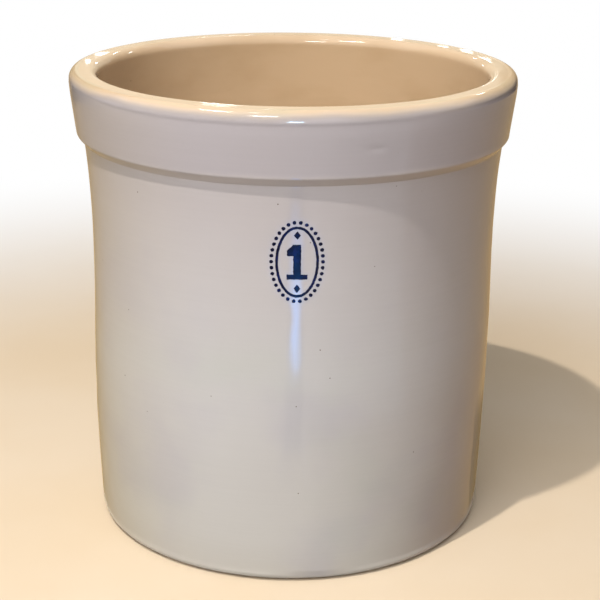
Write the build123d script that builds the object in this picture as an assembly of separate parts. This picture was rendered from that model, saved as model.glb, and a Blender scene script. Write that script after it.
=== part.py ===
from build123d import *
import math
import os

# One-gallon stoneware utensil crock, in millimetres, standing on z = 0 with its axis on Z.
# The front, which carries the capacity mark, faces -Y.
# Outlines are drawn as radius and height, and turned about the axis.

# Overall size
height = 198.0
belly_diameter = 174.7

# The wall's outside: heights as shares of the neck's height, radii as departures from the belly
low_height_share = 0.226
belly_height_share = 0.463
waist_height_share = 0.700
foot_draw = 1.75
low_draw = 0.45
waist_draw = 0.5
neck_flare = 1.7
wall_thickness = 7.4

# The rim band, with the slope under it
band_height = 26.3
ledge_height = 3.2
ledge_width = 2.85
band_flare = 2.6
band_edge_radius = 2.0
rim_thickness = 12.3

# The rounded lip on top of the band, each side of the flat crest
lip_outer_width = 3.05
lip_outer_height = 4.8
lip_inner_width = 3.8
lip_inner_height = 4.2

# The floor and the foot
floor_thickness = 9.0
inner_corner_radius = 12.0
foot_edge_radius = 3.5
foot_ring_width = 10.0
foot_recess_depth = 1.5
foot_recess_slope = 2.0

# The glaze coats, the turn of the foot's edge that the outer one covers, and where the two meet
glaze_thickness = 0.45
glaze_turn_degrees = 50.0
seam_share = 0.75

# The capacity mark: a line oval in a ring of beads round a numeral and two diamonds
mark_width = 21.3
mark_height = 33.2
mark_drop = 30.1
mark_margin = 3.0
mark_thickness = 0.15
bead_diameter = 1.5
bead_count = 34
bead_gap = 0.8
oval_stroke = 1.1
numeral_height = 14.0
numeral_width = 8.0
stem_width = 3.0
slab_height = 2.0
flag_reach = 2.4
flag_drop_share = 0.17
flag_height_share = 0.16
diamond_width = 2.6
diamond_height = 3.6
diamond_gap = 1.9

# Radii and heights that follow from these
belly_radius = belly_diameter / 2
foot_radius = belly_radius - foot_draw
low_radius = belly_radius - low_draw
waist_radius = belly_radius - waist_draw
neck_radius = belly_radius + neck_flare
band_low_radius = neck_radius + ledge_width
shoulder_radius = band_low_radius + band_flare
crest_outer_radius = shoulder_radius - lip_outer_width
mouth_radius = shoulder_radius - rim_thickness
crest_inner_radius = mouth_radius + lip_inner_width
seam_radius = crest_inner_radius + seam_share * (crest_outer_radius - crest_inner_radius)

band_low_height = height - band_height
neck_height = band_low_height - ledge_height
waist_height = waist_height_share * neck_height
belly_height = belly_height_share * neck_height
low_height = low_height_share * neck_height
shoulder_height = height - lip_outer_height
mouth_height = height - lip_inner_height
floor_height = foot_recess_depth + floor_thickness

corner_radius = foot_radius - wall_thickness - inner_corner_radius
corner_height = floor_height + inner_corner_radius
foot_turn_radius = foot_radius - foot_edge_radius


def glaze_stop(turn_radius):
    """Radius and height of the point where a turn of the foot's edge ends."""
    turn = math.radians(glaze_turn_degrees)
    radius = foot_turn_radius + turn_radius * math.cos(turn)
    return radius, foot_edge_radius - turn_radius * math.sin(turn)


def outside(inset):
    """Draw the outside from the glaze's lower edge up to the crest, set in by inset."""
    CenterArc(
        (foot_turn_radius, foot_edge_radius),
        foot_edge_radius - inset,
        -glaze_turn_degrees,
        glaze_turn_degrees,
    )
    Spline(
        (foot_radius - inset, foot_edge_radius),
        (low_radius - inset, low_height),
        (belly_radius - inset, belly_height),
        (waist_radius - inset, waist_height),
        (neck_radius - inset, neck_height),
    )
    FilletPolyline(
        (neck_radius - inset, neck_height),
        (band_low_radius - inset, band_low_height),
        (shoulder_radius - inset, shoulder_height),
        radius=band_edge_radius,
    )
    EllipticalCenterArc(
        (crest_outer_radius, shoulder_height),
        lip_outer_width - inset,
        lip_outer_height - inset,
        start_angle=0,
        arc_size=90,
    )
    Line((crest_outer_radius, height - inset), (seam_radius, height - inset))


def inside(inset):
    """Draw the inside from the crest down to the middle of the floor, set in by inset."""
    Line((seam_radius, height - inset), (crest_inner_radius, height - inset))
    EllipticalCenterArc(
        (crest_inner_radius, mouth_height),
        lip_inner_width - inset,
        lip_inner_height - inset,
        start_angle=90,
        arc_size=90,
    )
    Spline(
        (mouth_radius + inset, mouth_height),
        (neck_radius - wall_thickness + inset, neck_height),
        (waist_radius - wall_thickness + inset, waist_height),
        (belly_radius - wall_thickness + inset, belly_height),
        (foot_radius - wall_thickness + inset, corner_height),
    )
    CenterArc((corner_radius, corner_height), inner_corner_radius + inset, 0, -90)
    Line((corner_radius, floor_height - inset), (0, floor_height - inset))


def underside():
    """Draw the bare clay from the middle of the foot recess out to the glaze's lower edge."""
    stop_radius, stop_height = glaze_stop(foot_edge_radius - glaze_thickness)
    ring_outer_radius = stop_radius - stop_height * math.tan(math.radians(glaze_turn_degrees))
    ring_inner_radius = ring_outer_radius - foot_ring_width
    Polyline(
        (0, foot_recess_depth),
        (ring_inner_radius - foot_recess_slope, foot_recess_depth),
        (ring_inner_radius, 0),
        (ring_outer_radius, 0),
        (stop_radius, stop_height),
    )


def make_stoneware_body():
    """Fired clay: floor, foot ring, wall and rim band, formed as one piece."""
    with BuildPart() as body:
        with BuildSketch(Plane.XZ):
            with BuildLine():
                underside()
                outside(glaze_thickness)
                inside(glaze_thickness)
                Line((0, floor_height - glaze_thickness), (0, foot_recess_depth))
            make_face()
        revolve(axis=Axis.Z)
    return body.part


def make_liner_glaze():
    """Glaze poured over the floor and the inside of the wall, and over the crest to the seam."""
    with BuildPart() as liner:
        with BuildSketch(Plane.XZ):
            with BuildLine():
                inside(0)
                inside(glaze_thickness)
                Line((0, floor_height - glaze_thickness), (0, floor_height))
                Line((seam_radius, height - glaze_thickness), (seam_radius, height))
            make_face()
        revolve(axis=Axis.Z)
    return liner.part


def make_outer_coat(surface_inset, back_inset):
    """Coat on the outside, from the foot's edge to the seam on the crest, between two insets."""
    with BuildPart() as coat:
        with BuildSketch(Plane.XZ):
            with BuildLine():
                outside(surface_inset)
                outside(back_inset)
                Line(
                    glaze_stop(foot_edge_radius - surface_inset),
                    glaze_stop(foot_edge_radius - back_inset),
                )
                Line((seam_radius, height - back_inset), (seam_radius, height - surface_inset))
            make_face()
        revolve(axis=Axis.Z)
    return coat.part


def draw_beads():
    """Beads on an oval, evenly spaced along it."""
    path = Edge.make_ellipse((mark_width - bead_diameter) / 2, (mark_height - bead_diameter) / 2)
    spots = [path.position_at(number / bead_count) for number in range(bead_count)]
    with Locations(*spots):
        Circle(bead_diameter / 2)


def draw_oval():
    """The line oval just inside the beads."""
    inward = 2 * (bead_diameter + bead_gap)
    width = mark_width - inward
    tall = mark_height - inward
    Ellipse(width / 2, tall / 2)
    Ellipse(width / 2 - oval_stroke, tall / 2 - oval_stroke, mode=Mode.SUBTRACT)


def draw_numeral():
    """A plain figure one with a slab foot and a slanting flag, centred on the mark."""
    foot = -numeral_height / 2
    top = numeral_height / 2
    slab_top = foot + slab_height
    flag_tip = top - flag_drop_share * numeral_height
    flag_under = flag_tip - flag_height_share * numeral_height
    stem = stem_width / 2
    Polygon(
        (-numeral_width / 2, foot),
        (numeral_width / 2, foot),
        (numeral_width / 2, slab_top),
        (stem, slab_top),
        (stem, top),
        (-stem, top),
        (-stem - flag_reach, flag_tip),
        (-stem - flag_reach, flag_under),
        (-stem, flag_under),
        (-stem, slab_top),
        (-numeral_width / 2, slab_top),
        align=None,
    )


def draw_diamonds():
    """A small upright diamond above the numeral and one below it."""
    middle = numeral_height / 2 + diamond_gap + diamond_height / 2
    for centre in (middle, -middle):
        Polygon(
            (diamond_width / 2, centre),
            (0, centre + diamond_height / 2),
            (-diamond_width / 2, centre),
            (0, centre - diamond_height / 2),
            align=None,
        )


def make_capacity_mark():
    """Cobalt stamped on the outer glaze: the mark's outline, cut from a thin layer over it."""
    front = Plane(
        origin=(0, -shoulder_radius, neck_height - mark_drop),
        x_dir=(1, 0, 0),
        z_dir=(0, -1, 0),
    )
    with BuildPart() as field:
        with BuildSketch(front):
            Rectangle(mark_width + 2 * mark_margin, mark_height + 2 * mark_margin)
        extrude(amount=-shoulder_radius)
    with BuildPart() as punch:
        with BuildSketch(front):
            draw_oval()
            draw_beads()
            draw_numeral()
            draw_diamonds()
        extrude(amount=-shoulder_radius)
    return make_outer_coat(-mark_thickness, 0) & field.part & punch.part


parts = {
    "stoneware_body": make_stoneware_body(),
    "liner_glaze": make_liner_glaze(),
    "outer_glaze": make_outer_coat(0, glaze_thickness),
    "capacity_mark": make_capacity_mark(),
}

os.makedirs("parts", exist_ok=True)
for name, part in parts.items():
    export_step(part, f"parts/{name}.step")
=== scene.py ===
import math

import bpy
import numpy as np
from mathutils import Matrix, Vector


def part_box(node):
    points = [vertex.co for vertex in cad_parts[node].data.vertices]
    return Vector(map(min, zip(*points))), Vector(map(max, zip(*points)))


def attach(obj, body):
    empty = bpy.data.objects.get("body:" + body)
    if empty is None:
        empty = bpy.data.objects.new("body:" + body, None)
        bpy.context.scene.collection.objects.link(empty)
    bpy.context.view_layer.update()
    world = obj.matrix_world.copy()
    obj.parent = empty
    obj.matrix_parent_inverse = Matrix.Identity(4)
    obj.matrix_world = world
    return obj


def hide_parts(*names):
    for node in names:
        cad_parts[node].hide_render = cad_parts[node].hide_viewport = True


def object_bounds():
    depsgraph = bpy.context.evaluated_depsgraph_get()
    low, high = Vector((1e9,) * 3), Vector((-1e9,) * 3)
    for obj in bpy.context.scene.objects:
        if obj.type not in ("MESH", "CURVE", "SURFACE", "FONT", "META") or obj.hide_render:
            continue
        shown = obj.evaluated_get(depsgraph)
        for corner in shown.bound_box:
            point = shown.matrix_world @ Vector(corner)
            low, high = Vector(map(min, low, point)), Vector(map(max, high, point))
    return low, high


# Stoneware utensil crock, in metres, in the frame of its solids.
# Places on it are given by angle, radius and height.
# The angle is zero at the front, which faces -Y and carries the mark, and grows towards +X.

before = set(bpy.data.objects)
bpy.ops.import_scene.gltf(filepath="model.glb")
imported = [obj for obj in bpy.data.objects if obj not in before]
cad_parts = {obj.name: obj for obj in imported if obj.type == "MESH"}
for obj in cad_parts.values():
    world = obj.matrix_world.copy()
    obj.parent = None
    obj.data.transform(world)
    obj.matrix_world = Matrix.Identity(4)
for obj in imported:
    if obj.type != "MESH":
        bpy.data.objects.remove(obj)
cad_low, cad_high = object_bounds()
mark_low, mark_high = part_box("capacity_mark")

# Camera, with its heading, pitch and roll in radians
camera_distance = 0.62124
camera_height = 0.30702
camera_angle = math.radians(-1.37)
camera_heading = -0.0300
camera_pitch = 0.3314
camera_roll = 0.0108
camera_lens = 88.37
camera_near = 0.01
camera_far = 20.0

# Overall size
height = cad_high.z
shoulder_radius = cad_high.x

# Rim band and its lip
band_height = 0.0263
band_flare = 0.0026
band_edge_radius = 0.002
ledge_height = 0.0032
ledge_width = 0.00285
neck_cove_radius = 0.0009
rim_thickness = 0.0123
lip_outer_width = 0.00305
lip_outer_height = 0.0048
lip_inner_width = 0.0038
lip_inner_height = 0.0042

# Wall
neck_flare = 0.0017
foot_draw = 0.00175
low_draw = 0.00045
waist_draw = 0.0005
low_height_share = 0.226
belly_height_share = 0.463
waist_height_share = 0.700
wall_thickness = 0.0074

# Floor and foot
floor_thickness = 0.009
inner_corner_radius = 0.012
foot_edge_radius = 0.0035
foot_ring_width = 0.010
foot_recess_depth = 0.0015
foot_recess_slope = 0.002
foot_corner_radius = 0.0005
clay_turn = math.radians(70.0)

# Glaze: its thickness, where it stops on the foot's turn, how it thins out there, and its seam
glaze_thickness = 0.00045
glaze_stop = math.radians(50.0)
glaze_stop_wander = math.radians(5.0)
glaze_edge_share = 1 / 6
glaze_edge_thinning = 0.9
seam_share = 0.75

# Radii and heights that follow from these
band_low_radius = shoulder_radius - band_flare
neck_radius = band_low_radius - ledge_width
belly_radius = neck_radius - neck_flare
waist_radius = belly_radius - waist_draw
low_radius = belly_radius - low_draw
foot_radius = belly_radius - foot_draw
crest_outer_radius = shoulder_radius - lip_outer_width
mouth_radius = shoulder_radius - rim_thickness
crest_inner_radius = mouth_radius + lip_inner_width
seam_radius = crest_inner_radius + seam_share * (crest_outer_radius - crest_inner_radius)
band_low_height = height - band_height
neck_height = band_low_height - ledge_height
waist_height = waist_height_share * neck_height
belly_height = belly_height_share * neck_height
low_height = low_height_share * neck_height
shoulder_height = height - lip_outer_height
mouth_height = height - lip_inner_height
floor_height = foot_recess_depth + floor_thickness
corner_height = floor_height + inner_corner_radius
corner_radius = foot_radius - wall_thickness - inner_corner_radius
foot_turn_radius = foot_radius - foot_edge_radius

# Capacity mark
mark_height = (mark_low.z + mark_high.z) / 2
mark_half_width = 0.01065
mark_half_height = 0.0166
bead_radius = 0.00075
bead_count = 34
bead_gap = 0.0008
oval_stroke = 0.0011
numeral_height = 0.014
numeral_width = 0.008
stem_width = 0.003
slab_height = 0.002
flag_reach = 0.0024
flag_drop_share = 0.17
flag_height_share = 0.16
diamond_width = 0.0026
diamond_height = 0.0036
diamond_gap = 0.0019
mark_shift = -0.0004
halo_reach = 0.0007

# The mark's ink: its grid, its rise over the glaze and sink into it, and its edge's wobble
ink_step = 0.00018
ink_margin = 0.0006
ink_rise = 0.00005
ink_lip = 0.000012
ink_sink = 0.00003
ink_shoulder = 0.00022
ink_wobble = 0.00006
ink_wave_seed = 11
ink_wave_count = 40
ink_wave_lengths = (0.0006, 0.003)

# How closely the meshes follow the forms, and the finer patch of glaze behind the mark
patch_half_width = 0.0125
patch_half_height = 0.0185
patch_step = 0.0005
wall_step = 0.002
outer_columns = 224
inner_columns = 240
fine_steps = 8
coarse_steps = 3
liner_steps = 12
back_steps = 5
foot_turn_steps = 12
foot_back_steps = 4
corner_steps = 4
recess_steps = 60
ring_steps = 12
bead_path_points = 2001
stage_sides = 96
sharp_angle = math.radians(50.0)


def through(levels, radii):
    """Return a function of height that follows one smooth cubic curve through the given radii."""
    knots = np.array(levels)
    values = np.array(radii)
    count = len(knots)
    gaps = np.diff(knots)
    slopes = np.diff(values) / gaps
    rows = np.zeros((count, count))
    rows[0, :3] = gaps[1], -gaps[0] - gaps[1], gaps[0]
    rows[-1, -3:] = gaps[-1], -gaps[-2] - gaps[-1], gaps[-2]
    for knot in range(1, count - 1):
        rows[knot, knot - 1 : knot + 2] = gaps[knot - 1], 2 * (gaps[knot - 1] + gaps[knot]), gaps[knot]
    bends = np.linalg.solve(rows, np.concatenate([[0], 6 * np.diff(slopes), [0]]))

    def radius_at(level):
        """Radius at a height."""
        span = np.clip(np.searchsorted(knots, level) - 1, 0, count - 2)
        above = knots[span + 1] - level
        below = level - knots[span]
        gap = gaps[span]
        curve = (bends[span] * above**3 + bends[span + 1] * below**3) / (6 * gap)
        start = (values[span] / gap - bends[span] * gap / 6) * above
        end = (values[span + 1] / gap - bends[span + 1] * gap / 6) * below
        return curve + start + end

    return radius_at


outer_wall = through(
    (foot_edge_radius, low_height, belly_height, waist_height, neck_height),
    (foot_radius, low_radius, belly_radius, waist_radius, neck_radius),
)
inner_wall = through(
    (corner_height, belly_height, waist_height, neck_height, mouth_height),
    [r - wall_thickness for r in (foot_radius, belly_radius, waist_radius, neck_radius)] + [mouth_radius],
)


def arc(centre, across, up, start, end, steps):
    """Points on an elliptical arc, as radius and height, from one angle to another in degrees."""
    turns = np.radians(np.linspace(start, end, steps + 1))
    return np.column_stack([centre[0] + across * np.cos(turns), centre[1] + up * np.sin(turns)])


def line(start, end, steps):
    """Points on a straight line, without its end."""
    shares = np.linspace(0, 1, steps, endpoint=False)[:, None]
    return np.array(start) * (1 - shares) + np.array(end) * shares


def rounded(before, corner, after, radius, steps):
    """Points on the arc of that radius that rounds a corner between two others."""
    corner = np.array(corner)
    inward, outward = ((side - corner) / np.linalg.norm(side - corner) for side in (before, after))
    half = math.acos(np.clip(inward @ outward, -1, 1)) / 2
    middle = (inward + outward) / np.linalg.norm(inward + outward)
    centre = corner + middle * radius / math.sin(half)
    start = corner + inward * radius / math.tan(half) - centre
    end = corner + outward * radius / math.tan(half) - centre
    turn = math.pi - 2 * half
    shares = np.linspace(0, 1, steps + 1)[:, None]
    return centre + (start * np.sin((1 - shares) * turn) + end * np.sin(shares * turn)) / math.sin(turn)


def wall_levels(fine):
    """Heights of the wall's rows, closer together behind the mark where the mesh is fine."""
    low = mark_height - patch_half_height
    high = mark_height + patch_half_height
    top = neck_height - 2 * neck_cove_radius
    step = patch_step if fine else wall_step
    spans = ((foot_edge_radius, low, wall_step), (low, high, step), (high, top, wall_step))
    return np.concatenate([
        np.linspace(start, end, round((end - start) / gap), endpoint=False) for start, end, gap in spans
    ])


def outside(inset, fine):
    """The outside's outline from the top of the foot's turn to the seam, set in by inset."""
    levels = wall_levels(fine)
    wall = np.column_stack([outer_wall(levels) - inset, levels])
    neck = (neck_radius - inset, neck_height)
    edge = (band_low_radius - inset, band_low_height)
    shoulder = (shoulder_radius - inset, shoulder_height)
    steps = fine_steps if fine else coarse_steps
    cove = rounded(wall[-1], neck, edge, neck_cove_radius, steps)
    turn = rounded(neck, edge, shoulder, band_edge_radius, steps)
    slope = line(cove[-1], turn[0], steps)[1:]
    face = line(turn[-1], shoulder, 5 * steps)[1:]
    lip_size = (lip_outer_width - inset, lip_outer_height - inset)
    lip = arc((crest_outer_radius, shoulder_height), *lip_size, 0, 90, 2 * steps)
    seam = (seam_radius, height - inset)
    crest = line(lip[-1], seam, steps)[1:]
    return np.concatenate([wall, cove, slope, turn, face, lip, crest, [seam]])


def inside(inset, steps):
    """The inside's outline from the seam to the middle of the floor, set in by inset."""
    crest = line((seam_radius, height - inset), (crest_inner_radius, height - inset), steps)
    lip_size = (lip_inner_width - inset, lip_inner_height - inset)
    lip = arc((crest_inner_radius, mouth_height), *lip_size, 90, 180, 2 * steps)
    levels = np.linspace(mouth_height, corner_height, 9 * steps, endpoint=False)[1:]
    wall = np.column_stack([inner_wall(levels) + inset, levels])
    corner_size = inner_corner_radius + inset
    corner = arc((corner_radius, corner_height), corner_size, corner_size, 0, -90, 2 * steps)
    middle = (0, floor_height - inset)
    floor = line((corner_radius, floor_height - inset), middle, 4 * steps)[1:]
    return np.concatenate([crest, lip, wall, corner, floor, [middle]])


def waves(seed, count, shortest, longest):
    """Make a smooth field over angle and height, about one either way, that closes round the crock."""
    draw = np.random.default_rng(seed)
    girth = 2 * math.pi * belly_radius
    lengths = np.exp(draw.uniform(math.log(shortest), math.log(longest), count))
    tilts = draw.uniform(0, math.pi, count)
    rounds = np.round(girth / lengths * np.cos(tilts))
    rises = 2 * math.pi / lengths * np.sin(tilts)
    phases = draw.uniform(0, 2 * math.pi, count)

    def field(angle, level):
        """Value of the field at an angle and a height."""
        total = np.zeros(np.broadcast(angle, level).shape)
        for turns, rise, phase in zip(rounds, rises, phases):
            total += np.cos(turns * angle + rise * level + phase)
        return total / math.sqrt(count)

    return field


# Unevenness of a crock turned and glazed by hand: sags and ripples, calmer on the band
sag_depth = 0.00010
ripple_depth = 0.00002
highest_relief = 2 * sag_depth
lowest_relief = -1.4 * highest_relief
lump_field = waves(seed=3, count=24, shortest=0.035, longest=0.11)
ripple_field = waves(seed=5, count=30, shortest=0.009, longest=0.022)
edge_field = waves(seed=8, count=16, shortest=0.008, longest=0.06)
band_calm = 0.75

# Lean: how far the wall and the foot stand to one side of the rim
wall_shift = 0.00033
foot_shift = -0.00035
foot_shift_top = 0.045
foot_shift_end = 0.100

# The faint crease under the lip, which rises and falls twice round the crock
crease_depth = 0.00018
crease_rise = -0.0001
crease_swing = 0.0011
crease_place = math.radians(-15.0)
crease_width = 0.0009
crease_fade = 0.0030

# Dents in the band, each with its angle, height, half width, half height and depth
dents = (
    (math.radians(18.1), 0.1827, 0.0024, 0.0012, 0.00026),
    (math.radians(23.2), 0.1787, 0.0010, 0.0030, 0.00012),
)


def eased(value, start, end):
    """Zero up to the start, one from the end on, and a smooth step between them."""
    share = np.clip((value - start) / (end - start), 0, 1)
    return share * share * (3 - 2 * share)


def glaze_relief(angle, radius, level):
    """How far the glaze lies off its outline: long sags and short ripples, not proud on the band."""
    run = level - radius
    relief = sag_depth * lump_field(angle, run) + ripple_depth * ripple_field(angle, run)
    on_band = eased(level, neck_height, band_low_height)
    lowered = (1 - band_calm) * highest_relief * on_band
    return np.clip(relief, lowest_relief, highest_relief) * (1 - band_calm * on_band) - lowered


def band_relief(angle, level):
    """The faint crease under the lip and the dents on the band."""
    above = level - shoulder_height - crease_rise + crease_swing * np.cos(2 * (angle - crease_place))
    relief = -crease_depth * np.exp(-((above / np.where(above > 0, crease_width, crease_fade)) ** 2))
    for place, dent_height, across, up, depth in dents:
        along = (angle - place + math.pi) % (2 * math.pi) - math.pi
        away = (along * shoulder_radius / across) ** 2 + ((level - dent_height) / up) ** 2
        relief = relief - depth * np.exp(-away)
    return relief


def sway(level):
    """How far the crock leans to one side at a height."""
    upright = eased(level, foot_shift_top, foot_shift_end)
    over_band = eased(level, neck_height - ledge_height, band_low_height + ledge_height)
    return foot_shift + (wall_shift - foot_shift) * upright - wall_shift * over_band


def placed(angle, radius, level):
    """Points in the frame, given by angle, radius and height."""
    angle, radius, level = np.broadcast_arrays(angle, radius, level)
    return np.stack([radius * np.sin(angle) + sway(level), -radius * np.cos(angle), level], axis=-1)


def facing(outline):
    """Direction square to an outline at each of its points, to the right of its run."""
    along = np.gradient(outline, axis=0)
    along /= np.linalg.norm(along, axis=1, keepdims=True)
    return np.column_stack([along[:, 1], -along[:, 0]])


def uneven(outline, angles, more_relief=None):
    """Radius and height at each point of an outline and each angle, with the glaze's relief."""
    radius, level = outline[:, :1], outline[:, 1:]
    relief = glaze_relief(angles[None, :], radius, level)
    if more_relief:
        relief = relief + more_relief(angles[None, :], level)
    square = facing(outline)
    return radius + relief * square[:, :1], level + relief * square[:, 1:]


def even(outline, angles):
    """Radius and height at each point of an outline and each angle, the same all round."""
    shape = (len(outline), len(angles))
    return np.broadcast_to(outline[:, :1], shape), np.broadcast_to(outline[:, 1:], shape)


def add_object(name, data):
    """Put a new object in the scene."""
    thing = bpy.data.objects.new(name, data)
    bpy.context.scene.collection.objects.link(thing)
    return thing


def aim(thing, turn, away, level, heading, pitch, roll=0.0):
    """Put an object at an angle, a distance from the axis and a height, and turn its view."""
    thing.matrix_world = (
        Matrix.Translation((away * math.sin(turn), -away * math.cos(turn), level))
        @ Matrix.Rotation(heading, 4, "Z")
        @ Matrix.Rotation(math.pi / 2 - pitch, 4, "X")
        @ Matrix.Rotation(roll, 4, "Z")
    )


def add_mesh(name, points, faces, material):
    """Put a new mesh object in the scene."""
    mesh = bpy.data.meshes.new(name)
    mesh.from_pydata(points, [], faces)
    mesh.materials.append(material)
    return add_object(name, mesh)


def add_piece(name, points, faces, material, node):
    """Make a smooth mesh piece that stands for a node and rides with the crock."""
    piece = add_mesh(name, points, faces, material)
    piece.data.shade_smooth()
    piece.data.set_sharp_from_angle(angle=sharp_angle)
    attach(piece, "root")
    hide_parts(node)
    return piece


def grid_faces(rows, columns, ring):
    """Faces of a net of points that closes round the axis, and into a ring if it has no poles."""
    links = rows if ring else rows - 1
    first = np.arange(links)[:, None] * columns
    second = (np.arange(1, links + 1) % rows)[:, None] * columns
    column = np.arange(columns)[None, :]
    after = (column + 1) % columns
    corners = (first + column, first + after, second + after, second + column)
    return np.stack([np.broadcast_to(c, (links, columns)) for c in corners], -1).reshape(-1, 4).tolist()


def turned(radius, level, angles):
    """Points and faces of a closed form whose first and last rows lie on the axis."""
    rows, columns = radius.shape
    points = placed(angles[None, :], radius[1:-1], level[1:-1]).reshape(-1, 3).tolist()
    faces = grid_faces(rows - 2, columns, False)
    for end, start, order in ((0, 0, 1), (-1, (rows - 3) * columns, -1)):
        pole = len(points)
        points.append(placed(0.0, 0.0, level[end].mean()).tolist())
        for column in range(columns):
            fan = (start + (column + 1) % columns, start + column, pole)
            faces.append(fan[::order])
    return points, faces


def inner_angles():
    """Angles all round the crock, evenly spaced."""
    return np.linspace(-math.pi, math.pi, inner_columns, endpoint=False)


def outer_angles():
    """Angles all round the crock, closer together behind the mark."""
    patch = patch_half_width / belly_radius
    near = np.linspace(-patch, patch, round(2 * patch_half_width / patch_step), endpoint=False)
    far = np.linspace(patch, 2 * math.pi - patch, outer_columns, endpoint=False)
    return np.concatenate([near, far])


def polygon_distance(across, up, corners):
    """Distance from a polygon's outline, negative inside it."""
    nearest = np.full(across.shape, np.inf)
    within = np.zeros(across.shape, bool)
    for (ax, ay), (bx, by) in zip(corners, corners[1:] + corners[:1]):
        edge_x = bx - ax
        edge_y = by - ay
        along = ((across - ax) * edge_x + (up - ay) * edge_y) / (edge_x**2 + edge_y**2)
        along = np.clip(along, 0, 1)
        nearest = np.minimum(nearest, np.hypot(across - ax - along * edge_x, up - ay - along * edge_y))
        if edge_y:
            crosses = (ay > up) != (by > up)
            within ^= crosses & (across < ax + (up - ay) * edge_x / edge_y)
    return np.where(within, -nearest, nearest)


def ellipse_distance(across, up, half_width, half_height):
    """Distance from an ellipse, close to it, negative inside it."""
    scaled = np.hypot(across / half_width, up / half_height)
    steep = np.hypot(across / half_width**2, up / half_height**2)
    return scaled * (scaled - 1) / np.maximum(steep, 1)


def bead_places():
    """Places of the beads, evenly spaced along their oval."""
    turns = np.linspace(0, 2 * math.pi, bead_path_points)
    across = (mark_half_width - bead_radius) * np.cos(turns)
    up = (mark_half_height - bead_radius) * np.sin(turns)
    run = np.concatenate([[0], np.cumsum(np.hypot(np.diff(across), np.diff(up)))])
    stops = np.arange(bead_count) / bead_count * run[-1]
    return np.interp(stops, run, across), np.interp(stops, run, up)


def numeral_corners():
    """Corners of a plain figure one with a slab foot and a slanting flag."""
    foot = -numeral_height / 2
    top = numeral_height / 2
    slab_top = foot + slab_height
    flag_tip = top - flag_drop_share * numeral_height
    flag_under = flag_tip - flag_height_share * numeral_height
    stem = stem_width / 2
    slab = numeral_width / 2
    return [
        (-slab, foot),
        (slab, foot),
        (slab, slab_top),
        (stem, slab_top),
        (stem, top),
        (-stem, top),
        (-stem - flag_reach, flag_tip),
        (-stem - flag_reach, flag_under),
        (-stem, flag_under),
        (-stem, slab_top),
        (-slab, slab_top),
    ]


def diamond_corners(centre):
    """Corners of a small upright diamond."""
    half = diamond_width / 2
    tall = diamond_height / 2
    return [(half, centre), (0, centre + tall), (-half, centre), (0, centre - tall)]


def mark_distance(across, up):
    """Distance from the mark's inked strokes, negative inside them."""
    oval_width = mark_half_width - 2 * bead_radius - bead_gap
    oval_height = mark_half_height - 2 * bead_radius - bead_gap
    outer = ellipse_distance(across, up, oval_width, oval_height)
    inner = ellipse_distance(across, up, oval_width - oval_stroke, oval_height - oval_stroke)
    nearest = np.maximum(outer, -inner)
    for bead_across, bead_up in zip(*bead_places()):
        nearest = np.minimum(nearest, np.hypot(across - bead_across, up - bead_up) - bead_radius)
    nearest = np.minimum(nearest, polygon_distance(across, up, numeral_corners()))
    diamond_place = numeral_height / 2 + diamond_gap + diamond_height / 2
    for centre in (diamond_place, -diamond_place):
        nearest = np.minimum(nearest, polygon_distance(across, up, diamond_corners(centre)))
    return nearest


def ink_edge(across, up):
    """The mark's distance field with the small unevenness of a stamped edge."""
    draw = np.random.default_rng(ink_wave_seed)
    wobble = np.zeros(across.shape)
    for length in np.exp(draw.uniform(*np.log(ink_wave_lengths), ink_wave_count)):
        way = draw.uniform(0, 2 * math.pi)
        phase = draw.uniform(0, 2 * math.pi)
        swing = 2 * math.pi / length
        wobble += np.cos(swing * (across * math.cos(way) + up * math.sin(way)) + phase)
    return mark_distance(across, up) + ink_wobble * wobble / math.sqrt(ink_wave_count)


def ink_cells(edge, across, up):
    """Flat cells that fill the inked strokes: their points, faces and outer edges."""
    points, faces, rims = [], [], []
    known = {}

    def point(first, second, share):
        """Number of the point at a share of the way between two places, which is made only once."""
        if (first, second) not in known:
            known[first, second] = len(points)
            points.append([way[first] + (way[second] - way[first]) * share for way in (across, up)])
        return known[first, second]

    inked = edge < 0
    cells = inked[:-1, :-1] | inked[1:, :-1] | inked[:-1, 1:] | inked[1:, 1:]
    for row, column in np.argwhere(cells):
        ring = [(row, column), (row, column + 1), (row + 1, column + 1), (row + 1, column)]
        face = []
        leaving = []
        for here, there in zip(ring, ring[1:] + ring[:1]):
            if inked[here]:
                face.append(point(here, here, 0.0))
            if inked[here] != inked[there]:
                if inked[here]:
                    leaving.append(len(face))
                first, second = sorted((here, there))
                share = edge[first] / (edge[first] - edge[second])
                face.append(point(first, second, share))
        faces.append(face)
        rims += [(face[place], face[(place + 1) % len(face)]) for place in leaving]
    return np.array(points), faces, rims


def make_mark(material):
    """Cobalt mark stamped on the front: thin strokes with soft shoulders, closed underneath."""
    reaches = (mark_half_width + ink_margin, mark_half_height + ink_margin)
    across, up = np.meshgrid(*(np.arange(-reach, reach, ink_step) for reach in reaches))
    flat, faces, rims = ink_cells(ink_edge(across, up), across, up)
    depth = np.clip(-ink_edge(*flat.T) / ink_shoulder, 0, 1)
    rise = ink_lip + ink_rise * np.sqrt(depth * (2 - depth))
    level = mark_height + flat[:, 1]
    base = outer_wall(level)
    angle = np.arcsin((flat[:, 0] + mark_shift) / base)
    base = base + glaze_relief(angle, base, level)
    points = np.concatenate([placed(angle, base + rise, level), placed(angle, base - ink_sink, level)])
    count = len(flat)
    under = [[corner + count for corner in face[::-1]] for face in faces]
    walls = [[second, first, first + count, second + count] for first, second in rims]
    faces += under + walls
    add_piece("cobalt_mark", points.tolist(), faces, material, "capacity_mark")


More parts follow.
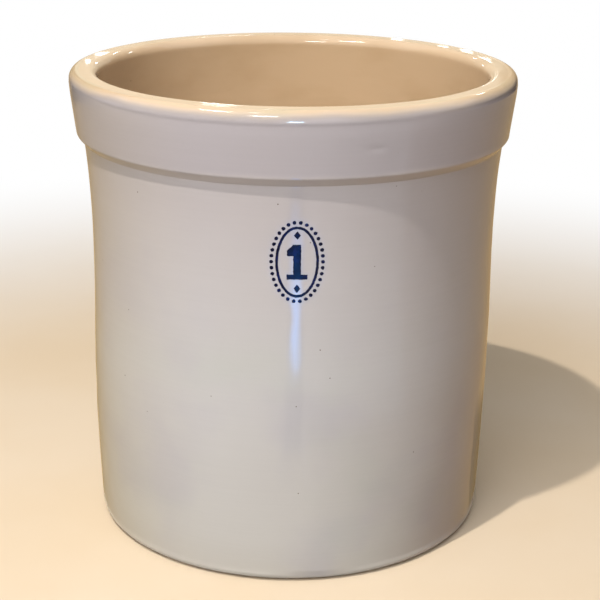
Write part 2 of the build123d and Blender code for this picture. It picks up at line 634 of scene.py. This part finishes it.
def on_foot_turn(turns, turn_radius):
    """Radius and height of points on the foot's turn, by angle below its widest point."""
    radius = foot_turn_radius + turn_radius * np.cos(turns)
    return radius, foot_edge_radius - turn_radius * np.sin(turns)


def foot_skin(stop):
    """The outer glaze's skin on the foot's turn, from its thin rounded edge up."""
    shares = np.linspace(0, 1, foot_turn_steps, endpoint=False)[:, None]
    edge = np.clip(1 - shares / glaze_edge_share, 0, 1)
    sink = glaze_edge_thinning * glaze_thickness * (1 - np.sqrt(1 - edge**2))
    return on_foot_turn(stop[None, :] * (1 - shares), foot_edge_radius - sink)


def foot_back(stop):
    """The outer glaze's back on the foot's turn, from the top of the turn down."""
    shares = np.linspace(0, 1, foot_back_steps + 1)[1:, None]
    return on_foot_turn(stop[None, :] * shares, foot_edge_radius - glaze_thickness)


def add_halo(piece, points):
    """Store on the outer glaze how near each point lies to the ink: one in it, and zero far off."""
    across, along, level = points.T
    near = (along < 0) & (np.abs(across) < patch_half_width)
    near &= np.abs(level - mark_height) < patch_half_height
    away = mark_distance((across - sway(level) - mark_shift)[near], level[near] - mark_height)
    halo = np.zeros(len(points), np.float32)
    halo[near] = np.exp(-np.maximum(away, 0) / halo_reach)
    piece.data.attributes.new("ink_halo", "FLOAT", "POINT").data.foreach_set("value", halo)


def make_outer_coat(material):
    """Glaze on the outside, from its uneven edge on the foot to the seam on the crest."""
    angles = outer_angles()
    stop = glaze_stop + glaze_stop_wander * edge_field(angles, foot_edge_radius)
    stretches = (
        foot_skin(stop),
        uneven(outside(0, True), angles, band_relief),
        even(outside(glaze_thickness, False)[::-1], angles),
        foot_back(stop),
    )
    radius, level = (np.concatenate(parts) for parts in zip(*stretches))
    points = placed(angles[None, :], radius, level).reshape(-1, 3)
    faces = grid_faces(len(radius), len(angles), True)
    piece = add_piece("outer_coat", points.tolist(), faces, material, "outer_glaze")
    add_halo(piece, points)


def make_liner_coat(material):
    """Glaze on the floor, the inside of the wall and the crest's inner part."""
    angles = inner_angles()
    back = even(inside(glaze_thickness, back_steps)[::-1], angles)
    skin = uneven(inside(0, liner_steps), angles)
    radius, level = (np.concatenate(parts) for parts in zip(back, skin))
    points, faces = turned(radius, level, angles)
    add_piece("liner_coat", points, faces, material, "liner_glaze")


def underside():
    """The bare underside's outline from the middle of the foot recess out and up the foot's turn."""
    turns = np.linspace(clay_turn, 0, foot_turn_steps, endpoint=False)
    turn = np.column_stack(on_foot_turn(turns, foot_edge_radius - glaze_thickness))
    ring_outer = turn[0, 0] - turn[0, 1] * math.tan(clay_turn)
    ring_inner = ring_outer - foot_ring_width
    middle = (0, foot_recess_depth)
    recess = (ring_inner - foot_recess_slope, foot_recess_depth)
    inner = (ring_inner, 0)
    outer = (ring_outer, 0)
    step = rounded(middle, recess, inner, 2 * foot_corner_radius, corner_steps)
    ring_start = rounded(recess, inner, outer, foot_corner_radius, corner_steps)
    recess_floor = line(middle, step[0], recess_steps)
    ring = line(ring_start[-1], outer, ring_steps)[1:]
    return np.concatenate([recess_floor, step, ring_start, ring, [outer], turn])


def make_clay_body(material):
    """Fired clay of the floor, the wall and the rim band, bare on the foot and the underside."""
    angles = inner_angles()
    lining = inside(glaze_thickness, back_steps)[1:]
    outline = np.concatenate([underside(), outside(glaze_thickness, False), lining])
    points, faces = turned(*even(outline, angles), angles)
    add_piece("clay_body", points, faces, material, "stoneware_body")


def add_node(tree, kind, inputs=None, **settings):
    """Add a shader node, set or link its inputs by name or number, and return its outputs."""
    node = tree.nodes.new("ShaderNode" + kind)
    for name, value in settings.items():
        setattr(node, name, value)
    for name, value in (inputs or {}).items():
        if isinstance(value, bpy.types.NodeSocket):
            tree.links.new(value, node.inputs[name])
        else:
            node.inputs[name].default_value = value
    return node.outputs


def new_material(name):
    """A material with an empty node tree."""
    material = bpy.data.materials.new(name)
    material.use_nodes = True
    material.node_tree.nodes.clear()
    return material, material.node_tree


def colour(red, green, blue):
    """Linear colour of a shade given from 0 to 255, as on a screen."""
    shades = (red / 255, green / 255, blue / 255)
    return (*(s / 12.92 if s <= 0.04045 else ((s + 0.055) / 1.055) ** 2.4 for s in shades), 1.0)


def mixed(tree, factor, first, second, blend="MIX"):
    """Mix two colours by a factor."""
    inputs = {0: factor, 6: first, 7: second}
    return add_node(tree, "Mix", inputs, data_type="RGBA", blend_type=blend)[2]


def result(tree, operation, *values):
    """Result of one step of arithmetic on one or two values."""
    return add_node(tree, "Math", dict(enumerate(values)), operation=operation)[0]


def product(tree, first, second):
    """Product of two values."""
    return result(tree, "MULTIPLY", first, second)


def ranged(tree, value, low, high, start=0.0, end=1.0):
    """Map a value smoothly from one range to another."""
    inputs = dict(enumerate((value, low, high, start, end)))
    return add_node(tree, "MapRange", inputs, interpolation_type="SMOOTHSTEP")[0]


def falling(tree, value, low, high):
    """One up to the low value, zero from the high one on, and a smooth step between them."""
    return ranged(tree, value, low, high, 1.0, 0.0)


def between(tree, value, rise, fall):
    """One between a smooth rise and a smooth fall, each given by two ends, and zero outside."""
    return product(tree, ranged(tree, value, *rise), falling(tree, value, *fall))


def object_place(tree):
    """Place on the object as a vector, and as its three coordinates."""
    place = add_node(tree, "TexCoord")["Object"]
    return place, *add_node(tree, "SeparateXYZ", {0: place})


def distance(tree, place):
    """Distance of a place from the middle of the foot."""
    return add_node(tree, "VectorMath", {0: place}, operation="LENGTH")["Value"]


def noise(tree, place, scale, detail=2.0, stretch=(1, 1, 1)):
    """Cloudy noise from zero to one, with features about one over the scale wide, in metres."""
    moved = add_node(tree, "Mapping", {"Vector": place, "Scale": stretch})[0]
    return add_node(tree, "TexNoise", {"Vector": moved, "Scale": scale, "Detail": detail})["Fac"]


def wavering(tree, place, scale, swing):
    """Noise about zero that spans the swing."""
    return product(tree, result(tree, "SUBTRACT", noise(tree, place, scale), 0.5), swing)


def drift(tree, place, scale, low, high, detail=3.0, stretch=(1, 1, 1)):
    """Value that drifts smoothly from place to place between two others."""
    return ranged(tree, noise(tree, place, scale, detail, stretch), *noise_span, low, high)


def patches(tree, place, scale, edge, strength, detail=3.0, stretch=(1, 1, 1)):
    """Cloudy patches of a strength, where the noise is past a soft edge."""
    return ranged(tree, noise(tree, place, scale, detail, stretch), *edge, 0.0, strength)


def specks(tree, place, scale, size, share):
    """Small round specks at random, in a share of the cells of a pattern of that scale."""
    cells = add_node(tree, "TexVoronoi", {"Vector": place, "Scale": scale})
    chance = add_node(tree, "SeparateColor", {0: cells["Color"]})[0]
    outer, inner = (size * scale * edge for edge in speck_edge_shares)
    spot = ranged(tree, cells["Distance"], outer, inner)
    return product(tree, spot, result(tree, "LESS_THAN", chance, share))


def ramp(tree, factor, stops):
    """Colour ramp through the given stops, each a place and a colour."""
    output = add_node(tree, "ValToRGB", {0: factor})[0]
    elements = output.node.color_ramp.elements
    elements[0].position, elements[0].color = stops[0]
    elements[1].position, elements[1].color = stops[-1]
    for place, shade in stops[1:-1]:
        elements.new(place).color = shade
    return output


def bumped(tree, place, layers):
    """Stack bump layers, each a noise's scale, detail and stretch, with a depth and a strength."""
    below = {}
    for scale, detail, stretch, depth, strength in layers:
        rise = noise(tree, place, scale, detail, stretch)
        inputs = {"Height": rise, "Distance": depth, "Strength": strength, **below}
        below = {"Normal": add_node(tree, "Bump", inputs)[0]}
    return below["Normal"]


def surface(tree, place, base, roughness, bumps, gloss):
    """Finish a material with its colour, drift of roughness, bumps and even gloss."""
    inputs = {
        "Base Color": base,
        "Roughness": drift(tree, place, *roughness),
        "Normal": bumped(tree, place, bumps),
        **gloss,
    }
    shader = add_node(tree, "BsdfPrincipled", inputs)[0]
    add_node(tree, "OutputMaterial", {"Surface": shader})


# Colours of glaze, clay and ink
# Partly painted warm light: the peach lip and buff inside stand in for warm light from above as well as
# the glazes' own warmth
lip_peach = colour(213, 187, 156)
lip_gold = colour(208, 188, 168)
lip_warm = colour(180, 170, 166)
band_grey = colour(188, 182, 187)
# Painted light: the ledge under the band is paler, to offset the shade that falls under the band
pale_ledge_painted_light = colour(204, 197, 198)
# Partly the glaze's own drift and partly painted light: darker mauve-grey high up, lighter grey low down
upper_grey = colour(194, 188, 190)
middle_grey = colour(201, 199, 200)
lower_grey = colour(207, 204, 200)
foot_buff = colour(205, 200, 192)
cool_patch = colour(188, 184, 194)
green_patch = colour(194, 199, 190)
speck_brown = colour(96, 80, 66)
halo_blue = colour(176, 184, 214)
liner_buff = colour(200, 172, 138)
liner_deep = colour(188, 159, 123)
clay_buff = colour(198, 172, 140)
clay_dark = colour(176, 148, 116)
ink_navy = colour(8, 12, 44)
ink_bright = colour(16, 30, 88)

# Colours up the outside and the inside, by share of the crock's height, and how their borders waver
outer_stops = (
    (0.0, foot_buff),
    # Partly the glaze's own drift and partly painted light: lighter low down, darker and mauve high up
    # under the band
    (0.10, lower_grey),
    (0.45, middle_grey),
    (0.80, upper_grey),
    (0.847, upper_grey),
    # Painted light: the paler ledge under the band
    (0.855, pale_ledge_painted_light),
    (0.866, pale_ledge_painted_light),
    (0.876, band_grey),
    (0.978, band_grey),
    # Partly painted warm light: the lip warms to peach towards the top
    (0.986, lip_warm),
    (0.9925, lip_gold),
    (0.9975, lip_peach),
)
liner_stops = (
    (0.0, liner_deep),
    (0.82, liner_buff),
    (0.975, liner_buff),
    (0.99, lip_peach),
)
stop_waver = (45.0, 0.012)

# Painted warm light on the outside away from the front's middle, painted light that makes the band
# lighter towards the right, and the halo round the mark
painted_warm_light_tint = (1.0, 0.965, 0.875, 1.0)
painted_warm_light_reach = (0.05, 0.10)
painted_warm_light_top = (0.190, 0.196)
painted_warm_light_middle = 0.018
painted_band_light_reach = (0.025, 0.060)
painted_band_light = (0.96, 1.07)
halo_strength = 0.35

# Patches of a second colour: scale per metre, soft edge in the noise, strength, detail and stretch
cool_patches = (22.0, (0.45, 0.75), 0.45)
green_patches = (16.0, (0.5, 0.8), 0.4, 3.0, (1, 1, 1.3))
deep_patches = (30.0, (0.4, 0.75), 0.5, 3.0, (1, 1, 2))
dark_patches = (60.0, (0.35, 0.7), 1.0, 5.0)
bright_patches = (420.0, (0.45, 0.72), 0.8, 4.0)

# Drifts: scale per metre, the two values, detail and stretch, over the span that most noise is in
noise_span = (0.3, 0.7)
outer_streaks = (12.0, 0.992, 1.006, 3.0, (1, 1, 90))
outer_roughness = (60.0, 0.32, 0.42)
liner_roughness = (60.0, 0.34, 0.44)
clay_roughness = (900.0, 0.75, 0.95)
cobalt_roughness = (300.0, 0.16, 0.26, 2.0)

# Specks: cells per metre, radius, and share of the cells that hold one
outer_specks = (110.0, 0.00022, 0.6)
liner_specks = (120.0, 0.0002, 0.5)
clay_specks = (500.0, 0.00022, 0.7)
speck_edge_shares = (1.6, 0.7)

# Bumps: scale per metre, detail and stretch, depth and strength
outer_bumps = ((260.0, 2.0, (1, 1, 1), 0.0005, 0.10), (24.0, 2.0, (1, 1, 50), 0.0002, 0.025))
liner_bumps = ((240.0, 2.0, (1, 1, 1), 0.0005, 0.10), (30.0, 2.0, (1, 1, 12), 0.0006, 0.10))
clay_bumps = ((1400.0, 4.0, (1, 1, 1), 0.0004, 0.5), (300.0, 3.0, (1, 1, 1), 0.0006, 0.3))
cobalt_bumps = ((900.0, 3.0, (1, 1, 1), 0.0002, 0.15),)

# Gloss, the same all over a surface: on the glazes it is a clear coat's
glaze_gloss = {"IOR": 1.5, "Specular IOR Level": 0.05, "Coat Weight": 1.0, "Coat Roughness": 0.04}
clay_gloss = {"IOR": 1.45}
cobalt_gloss = {"IOR": 1.5, "Specular IOR Level": 0.25}


def outer_glaze_material():
    """Grey-buff glaze: cloudy, faintly streaked round the crock, thinner and warmer on the lip, that
    warmth partly painted warm light; with painted warm light off the front's middle and painted light on
    the band's right.
    """
    material, tree = new_material("outer_glaze_surface")
    place, across, _, level = object_place(tree)
    share = result(tree, "DIVIDE", level, height)
    base = ramp(tree, result(tree, "ADD", share, wavering(tree, place, *stop_waver)), outer_stops)
    base = mixed(tree, patches(tree, place, *cool_patches), base, cool_patch, "DARKEN")
    base = mixed(tree, patches(tree, place, *green_patches), base, green_patch, "DARKEN")
    # Painted warm light: the glaze is tinted warmer away from the front's middle, up to just under the
    # lip
    aside = result(tree, "ABSOLUTE", result(tree, "SUBTRACT", across, painted_warm_light_middle))
    painted_warm_light_mask = product(tree, ranged(tree, aside, *painted_warm_light_reach), falling(tree, level, *painted_warm_light_top))
    base = mixed(tree, painted_warm_light_mask, base, painted_warm_light_tint, "MULTIPLY")
    base = mixed(tree, 1.0, base, drift(tree, place, *outer_streaks), "MULTIPLY")
    # Painted light: the band is darker on the left and lighter towards the right
    band = ranged(tree, level, neck_height, band_low_height)
    base = mixed(tree, band, base, ranged(tree, across, *painted_band_light_reach, *painted_band_light), "MULTIPLY")
    halo = add_node(tree, "Attribute", attribute_name="ink_halo")["Fac"]
    base = mixed(tree, product(tree, halo, halo_strength), base, halo_blue)
    base = mixed(tree, specks(tree, place, *outer_specks), base, speck_brown)
    surface(tree, place, base, outer_roughness, outer_bumps, glaze_gloss)
    return material


def liner_glaze_material():
    """Buff glaze of the inside, its warmth partly painted warm light from above: glossy, a little deeper
    in colour low down.
    """
    material, tree = new_material("liner_glaze_surface")
    place, _, _, level = object_place(tree)
    base = ramp(tree, result(tree, "DIVIDE", level, height), liner_stops)
    base = mixed(tree, patches(tree, place, *deep_patches), base, liner_deep, "DARKEN")
    base = mixed(tree, specks(tree, place, *liner_specks), base, speck_brown)
    surface(tree, place, base, liner_roughness, liner_bumps, glaze_gloss)
    return material


def clay_material():
    """Bare buff clay: matte and gritty, with darker patches and dark iron grains."""
    material, tree = new_material("bare_clay_surface")
    place, *_ = object_place(tree)
    base = mixed(tree, patches(tree, place, *dark_patches), clay_buff, clay_dark)
    base = mixed(tree, specks(tree, place, *clay_specks), base, speck_brown)
    surface(tree, place, base, clay_roughness, clay_bumps, clay_gloss)
    return material


def cobalt_material():
    """Cobalt stamped into the glaze: dark navy, thinner and bluer in places."""
    material, tree = new_material("cobalt_surface")
    place, *_ = object_place(tree)
    base = mixed(tree, patches(tree, place, *bright_patches), ink_navy, ink_bright)
    surface(tree, place, base, cobalt_roughness, cobalt_bumps, cobalt_gloss)
    return material


# Floor: its size, its own colours, and those of the light that it throws back on the crock, painted
# darker and warmer to the right and by the foot as painted shade
floor_drop = 0.0001
floor_radius = 4.0
floor_pale = colour(228, 208, 180)
floor_grain = (8.0, 0.0, 0.1)
floor_white_reach = (0.20, 0.62)
bounce_left = colour(158, 155, 152)
bounce_right = colour(152, 138, 121)
bounce_foot = colour(108, 62, 20)
bounce_sides = (0.03, 0.09)
bounce_foot_reach = (0.18, 0.50)
white = (1.0, 1.0, 1.0, 1.0)

# Surrounding light: its colour, its strength from the left and the right, and what the rear adds
sky_colour = colour(255, 254, 253)
sky_left = 0.337
sky_right = 0.310
sky_rear = 0.18

# Dish-shaped card about the crock: its outline as radius and height, and how its top rises behind
card_outline = ((0.088, 0.0008), (0.20, 0.0008), (0.30, 0.02), (0.34, 0.08), (0.34, 0.18))
card_front_top = 0.22
card_rear_top = 0.50
card_top_rise = (-0.3, 0.6)

# The card's colours, each with where it starts or ends: turns in radians from the front, and metres
card_sides = (-0.1, 0.1)
card_low_left = (0.52, 0.35, 0.14, 1.0)
card_low_right = (0.51, 0.33, 0.14, 1.0)
card_brown = (0.46, 0.32, 0.16, 1.0)
brown_level = (0.005, 0.12)
card_pale = (0.74, 0.66, 0.56, 1.0)
pale_turn = ((-0.35, 0.2), (0.85, 1.0))
pale_level = (0.001, 0.008)
card_cream = (0.95, 0.82, 0.60, 1.0)
cream_aside = (0.136, 0.150)
cream_waver = (90.0, 0.03)
cream_level = (0.18, 0.25)
card_shadow = (0.24, 0.16, 0.06, 1.0)
shadow_slope = 1.2
shadow_slant = (-0.128, -0.122)
shadow_across = (0.04, 0.08)
shadow_reach = (0.14, 0.19)
card_dark = (0.02, 0.012, 0.006, 1.0)
dark_turn = ((1.35, 1.75), (2.35, 2.6))
dark_level = ((0.134, 0.146), (0.185, 0.225))
dark_left_drop = 0.028
dark_left_weight = 0.8

# Blue strip in front of the crock, where it fades in and out, and how deep the cards beside it are
glow_blue = (0.05, 0.36, 1.0, 1.0)
glow_strength = 9.5
glow_distance = 0.20
glow_half_width = 0.0125
glow_side_depth = 0.06
glow_low = (0.042, 0.070)
glow_high = (0.084, 0.112)

# Lamps: name, angle and elevation in degrees, distance, width, height, power, and colour if not white
warm_white = (1.0, 0.93, 0.84)
cool_white = (0.35, 0.70, 1.0)
main_lamps = (
    ("key_lamp", -33, 62, 1.2, 0.03, 0.03, 9.0, warm_white),
    ("soft_lamp", -19.5, 35, 1.3, 1.0, 1.0, 9.5),
)
glint_lamps = (
    ("window_glint", -172.8, 29.9, 0.349, 0.027, 0.004, 0.0068),
    ("left_glint", -50, 54, 1.2, 0.28, 0.12, 3.4),
    ("front_glint", -16, 34, 1.2, 0.28, 0.10, 2.5),
    ("key_glint", -30, 62, 1.2, 0.08, 0.08, 0.45),
    ("right_rear_glint_a", 166.8, 23.3, 0.348, 0.0085, 0.0018, 0.00021),
    ("right_rear_glint_b", 161.6, 23.7, 0.349, 0.0075, 0.0018, 0.00014),
    ("right_rear_glint_c", 158.8, 23.8, 0.349, 0.0085, 0.0018, 0.00016),
    ("right_rear_glint_d", 156.9, 24.9, 0.353, 0.010, 0.004, 0.0009),
    ("high_rear_glint", -177.9, 38.6, 0.409, 0.006, 0.010, 0.009),
    ("right_glint", 142, 41.1, 0.4246, 0.025, 0.025, 0.04),
    ("left_rear_glint_a", -157.8, 25.0, 0.353, 0.004, 0.002, 0.00006),
    ("left_rear_glint_b", -159.5, 24.4, 0.351, 0.011, 0.003, 0.00024),
    ("left_side_glint", -127.8, 11.5, 0.3265, 0.008, 0.020, 0.002),
    ("cool_glint", -0.5, 15, 0.331, 0.040, 0.016, 0.16, cool_white),
)

stage_turns = np.linspace(0, 2 * math.pi, stage_sides, endpoint=False)


def seen_directly(tree):
    """One where a ray comes from the camera, a gloss or through glass, and zero elsewhere."""
    path = add_node(tree, "LightPath")
    gloss = result(tree, "MAXIMUM", path["Is Camera Ray"], path["Is Glossy Ray"])
    return result(tree, "MAXIMUM", gloss, path["Is Transmission Ray"])


def level_ring(radius, level):
    """Points of a ring about the axis, at one height or at a height for each point."""
    levels = np.broadcast_to(level, stage_sides)
    return np.column_stack([radius * np.cos(stage_turns), radius * np.sin(stage_turns), levels])


def floor_material():
    """Pale matte floor that keeps the crock's shadow, turns white far off, and throws back light painted
    darker and warmer to the right and by the foot.
    """
    material, tree = new_material("pale_floor")
    place, across, *_ = object_place(tree)
    away = distance(tree, place)
    seen = seen_directly(tree)
    # Painted shade: the light thrown back is darker and warmer to the right and by the foot
    right = ranged(tree, across, *bounce_sides)
    bounce = mixed(tree, right, bounce_left, bounce_right)
    foot = product(tree, right, falling(tree, away, *bounce_foot_reach))
    bounce = mixed(tree, foot, bounce, bounce_foot)
    shade = mixed(tree, drift(tree, place, *floor_grain), floor_pale, white)
    base = mixed(tree, seen, bounce, shade)
    matte = add_node(tree, "BsdfDiffuse", {"Color": base})[0]
    glow = add_node(tree, "Emission", {"Color": white, "Strength": 1.0})[0]
    far = product(tree, ranged(tree, away, *floor_white_reach), seen)
    both = add_node(tree, "MixShader", {0: far, 1: matte, 2: glow})[0]
    add_node(tree, "OutputMaterial", {"Surface": both})
    return material


def make_floor():
    """Round floor under the crock."""
    points = level_ring(floor_radius, -floor_drop).tolist()
    floor = add_mesh("floor", points, [list(range(stage_sides))], floor_material())


def add_glow(tree, shade, strength):
    """Finish a material that only glows."""
    glow = add_node(tree, "Emission", {"Color": shade, "Strength": strength})[0]
    add_node(tree, "OutputMaterial", {"Surface": glow})


def foot_shadow(tree, place, across, along):
    """Mask of the part behind the crock on the right, close to its foot."""
    slant = result(tree, "SUBTRACT", along, product(tree, across, shadow_slope))
    behind = product(tree, ranged(tree, slant, *shadow_slant), ranged(tree, across, *shadow_across))
    return product(tree, behind, falling(tree, distance(tree, place), *shadow_reach))


def dark_stripe(tree, turn, across, level):
    """Mask of the stripe on each side that darkens the rim's edge, lower and weaker on the left."""
    beside = between(tree, result(tree, "ABSOLUTE", turn), *dark_turn)
    drop = ranged(tree, across, *card_sides, dark_left_drop, 0.0)
    raised = between(tree, result(tree, "ADD", level, drop), *dark_level)
    weight = ranged(tree, across, *card_sides, dark_left_weight, 1.0)
    return product(tree, weight, product(tree, beside, raised))


def surround_material():
    """Glow that the glaze reflects: brown, pale in front on the right, cream behind, dark beside."""
    material, tree = new_material("warm_card")
    place, across, along, level = object_place(tree)
    turn = result(tree, "ARCTAN2", across, product(tree, along, -1.0))
    low = mixed(tree, ranged(tree, across, *card_sides), card_low_left, card_low_right)
    shade = mixed(tree, ranged(tree, level, *brown_level), low, card_brown)
    pale = product(tree, between(tree, turn, *pale_turn), ranged(tree, level, *pale_level))
    shade = mixed(tree, pale, shade, card_pale)
    aside = result(tree, "ADD", result(tree, "ABSOLUTE", across), wavering(tree, place, *cream_waver))
    cream = product(tree, falling(tree, aside, *cream_aside), ranged(tree, level, *cream_level))
    shade = mixed(tree, cream, shade, card_cream)
    shade = mixed(tree, foot_shadow(tree, place, across, along), shade, card_shadow)
    shade = mixed(tree, dark_stripe(tree, turn, across, level), shade, card_dark)
    add_glow(tree, shade, 1.0)
    return material


def add_reflected(name, points, faces, material):
    """Put a card in the scene that is seen only in reflections."""
    card = add_mesh(name, points, faces, material)
    card.visible_camera = card.visible_diffuse = card.visible_shadow = False


def make_surround(material):
    """Dish-shaped card about the crock."""
    rise = eased(np.sin(stage_turns), *card_top_rise)
    tops = card_front_top + (card_rear_top - card_front_top) * rise
    outline = (*card_outline, (card_outline[-1][0], tops))
    points = np.concatenate([level_ring(radius, level) for radius, level in outline])
    faces = grid_faces(len(outline), stage_sides, False)
    add_reflected("surround_card", points.tolist(), faces, material)


def glow_material():
    """Blue glow, strongest in the middle and fading to all sides."""
    material, tree = new_material("blue_glow")
    _, across, _, level = object_place(tree)
    side = result(tree, "ABSOLUTE", across)
    strength = ranged(tree, side, 0.0, glow_half_width, glow_strength, 0.0)
    strength = product(tree, strength, between(tree, level, glow_low, glow_high))
    add_glow(tree, glow_blue, strength)
    return material


def make_glow(side_material):
    """Upright strip that the glaze shows as a pale blue streak, and cards that hide it from aside."""
    half = glow_half_width
    front = -glow_distance
    back = glow_side_depth - glow_distance
    top = glow_high[1]
    strip = [(-half, front, 0.0), (half, front, 0.0), (half, front, top), (-half, front, top)]
    outline = ((front, 0.0), (back, 0.0), (back, top), (front, top))
    sides = [(across, *corner) for across in (-half, half) for corner in outline]
    add_reflected("blue_strip", strip, [(0, 1, 2, 3)], glow_material())
    add_reflected("strip_sides", sides, [(0, 1, 2, 3), (4, 5, 6, 7)], side_material)


def make_world():
    """Pale light from all round, stronger from the rear and slightly from the left, seen as white."""
    world = bpy.data.worlds.new("studio")
    world.use_nodes = True
    tree = world.node_tree
    tree.nodes.clear()
    way = add_node(tree, "TexCoord")["Generated"]
    parts = add_node(tree, "SeparateXYZ", {0: way})
    strength = ranged(tree, parts["X"], -1.0, 1.0, sky_left, sky_right)
    strength = result(tree, "ADD", strength, ranged(tree, parts["Y"], 0.0, 1.0, 0.0, sky_rear))
    light = add_node(tree, "Background", {"Color": sky_colour, "Strength": strength})[0]
    back = add_node(tree, "Background", {"Color": white, "Strength": 1.0})[0]
    both = add_node(tree, "MixShader", {0: seen_directly(tree), 1: light, 2: back})[0]
    add_node(tree, "OutputWorld", {"Surface": both})
    bpy.context.scene.world = world


def add_lamp(name, angle, elevation, away, width, tall, power, shade=white[:3]):
    """Oval area lamp aimed at the crock's middle, from an angle and an elevation in degrees."""
    light = bpy.data.lights.new(name, "AREA")
    light.shape = "ELLIPSE"
    light.size = width
    light.size_y = tall
    light.energy = power
    light.color = shade
    turn = math.radians(angle)
    rise = math.radians(elevation)
    lamp = add_object(name, light)
    aim(lamp, turn, away * math.cos(rise), height / 2 + away * math.sin(rise), turn, rise)
    lamp.visible_camera = False
    return lamp


def make_lamps():
    """Lamps that light the crock, and lamps that show only as glints on the glaze."""
    for lamp in main_lamps:
        add_lamp(*lamp).visible_glossy = False
    for lamp in glint_lamps:
        add_lamp(*lamp).visible_diffuse = False


def make_camera():
    """Camera at the photograph's viewing angle."""
    data = bpy.data.cameras.new("camera")
    data.lens = camera_lens
    data.clip_start = camera_near
    data.clip_end = camera_far
    camera = add_object("camera", data)
    aim(camera, camera_angle, camera_distance, camera_height, camera_heading, camera_pitch, camera_roll)
    bpy.context.scene.camera = camera


make_camera()
make_floor()
make_world()
make_lamps()
warm_card = surround_material()
make_surround(warm_card)
make_glow(warm_card)
make_outer_coat(outer_glaze_material())
make_liner_coat(liner_glaze_material())
make_clay_body(clay_material())
make_mark(cobalt_material())

bpy.context.scene.view_settings.view_transform = "Standard"
